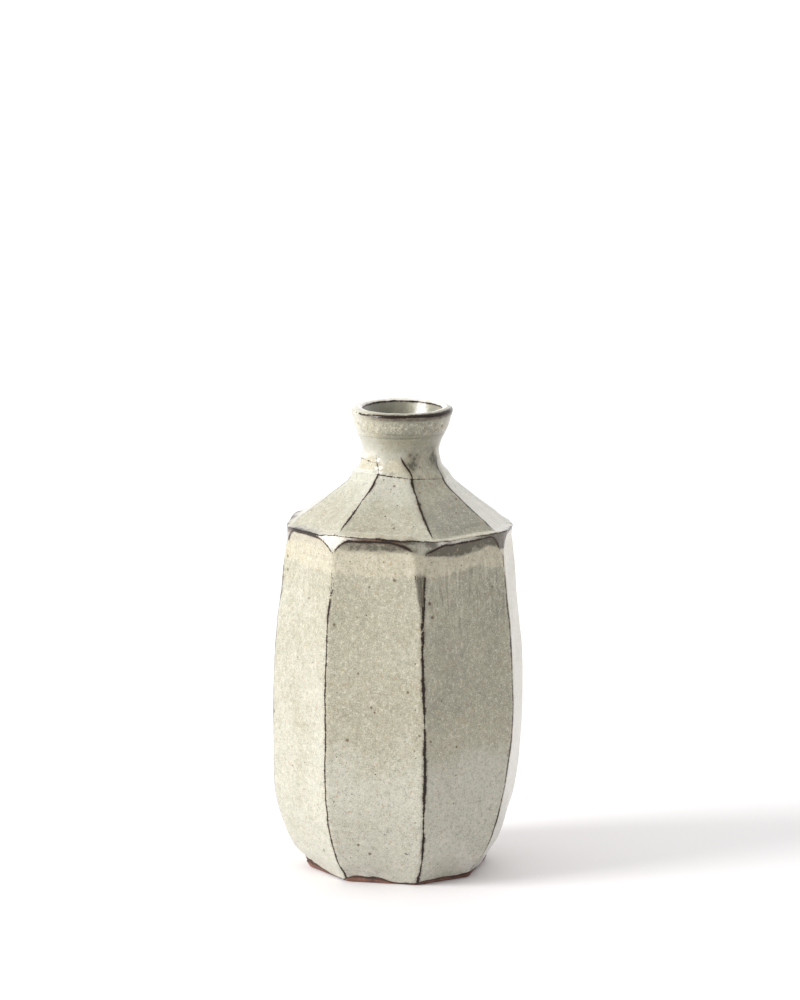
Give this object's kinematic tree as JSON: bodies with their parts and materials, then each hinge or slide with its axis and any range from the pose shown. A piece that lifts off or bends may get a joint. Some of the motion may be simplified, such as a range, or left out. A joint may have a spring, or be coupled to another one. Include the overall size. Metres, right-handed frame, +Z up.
{
  "type": "sake bottle",
  "caption": "Faceted stoneware sake bottle with a bare foot, sloping shoulder, narrow waisted neck and flared mouth, glazed inside and out.",
  "frame": {"origin": "on the surface that the foot stands on, at the middle of the bottle", "axes": "+Z up the bottle's axis from foot to mouth, -Y towards the front, +X to the right seen from the front"},
  "size_m": [0.084, 0.0836, 0.156],
  "materials": {
    "bare_clay": "unglazed iron-bearing stoneware, matt red-brown",
    "clay": "dark iron-bearing stoneware body under the glaze",
    "outer_glaze": "grey-green satin glaze, speckled with iron, breaking brown along the ridges",
    "liner_glaze": "the same glaze, poured inside and glossier"
  },
  "bodies": {
    "root": {"foot_slab": "bare_clay", "body_wall": "clay", "shoulder": "clay", "neck": "clay", "mouth_ring": "clay", "body_glaze": "outer_glaze", "shoulder_glaze": "outer_glaze", "neck_glaze": "outer_glaze", "mouth_glaze": "outer_glaze", "liner_glaze": "liner_glaze"}
  },
  "joints": []
}
